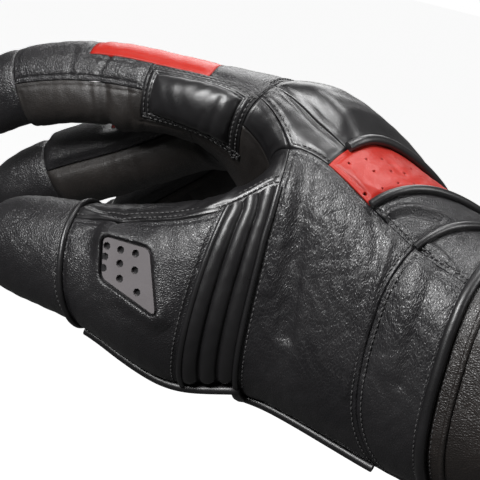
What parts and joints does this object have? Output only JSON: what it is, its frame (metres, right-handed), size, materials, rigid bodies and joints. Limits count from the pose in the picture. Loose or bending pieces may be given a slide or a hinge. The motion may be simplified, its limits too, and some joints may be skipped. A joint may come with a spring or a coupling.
{
  "type": "sport glove",
  "caption": "Short leather sport glove for the right hand, shaped round a grip, with a padded knuckle guard, ribbed thumb gusset and perforated red back.",
  "frame": {"origin": "middle of the cuff opening, which is the mount hand_opening", "axes": "+X out of the cuff opening, away from the fingers; +Z the back of the hand; -Y the thumb side; -X towards the finger ends"},
  "size_m": [0.2363, 0.1132, 0.1198],
  "materials": {
    "grained_leather": "black pebble-grained leather, satin",
    "smooth_leather": "black smooth leather, semi-gloss",
    "palm_leather": "black soft palm leather, matt",
    "ribbed_leather": "black leather folded into stretch ribs",
    "piping_leather": "black leather piping, satin",
    "cuff_leather": "brownish black grained leather",
    "red_perforated_leather": "red perforated leather",
    "red_accent_leather": "red leather",
    "moulded_insert": "grey moulded rubber, matt"
  },
  "bodies": {
    "root": {"closure_tab": "smooth_leather", "cuff": "cuff_leather", "cuff_piping": "piping_leather", "cuff_piping_thin": "piping_leather", "finger_back_panel": "grained_leather", "guard_roll": "piping_leather", "guard_strip": "smooth_leather", "index_accent": "red_accent_leather", "index_back": "grained_leather", "index_front": "palm_leather", "index_side_panel": "smooth_leather", "index_tip": "grained_leather", "knuckle_guard": "smooth_leather", "knuckle_patch": "smooth_leather", "little_accent": "red_accent_leather", "little_back": "grained_leather", "little_front": "palm_leather", "little_tip": "grained_leather", "middle_accent": "red_accent_leather", "middle_back": "grained_leather", "middle_front": "palm_leather", "middle_tip": "grained_leather", "outer_side_panel": "grained_leather", "palm_edge_piping": "piping_leather", "palm_panel": "palm_leather", "red_back_panel": "red_perforated_leather", "ring_accent": "red_accent_leather", "ring_back": "grained_leather", "ring_front": "palm_leather", "ring_tip": "grained_leather", "side_panel": "grained_leather", "strap_binding": "piping_leather", "strap_binding_low": "piping_leather", "strap_panel": "grained_leather", "stretch_panel": "ribbed_leather", "stretch_welt_front": "piping_leather", "stretch_welt_rear": "piping_leather", "thumb_inner": "palm_leather", "thumb_insert": "moulded_insert", "thumb_middle": "grained_leather", "thumb_tip": "grained_leather", "thumb_welt": "piping_leather", "web_patch": "smooth_leather", "wrist_panel": "grained_leather", "wrist_strap": "grained_leather"}
  },
  "joints": []
}
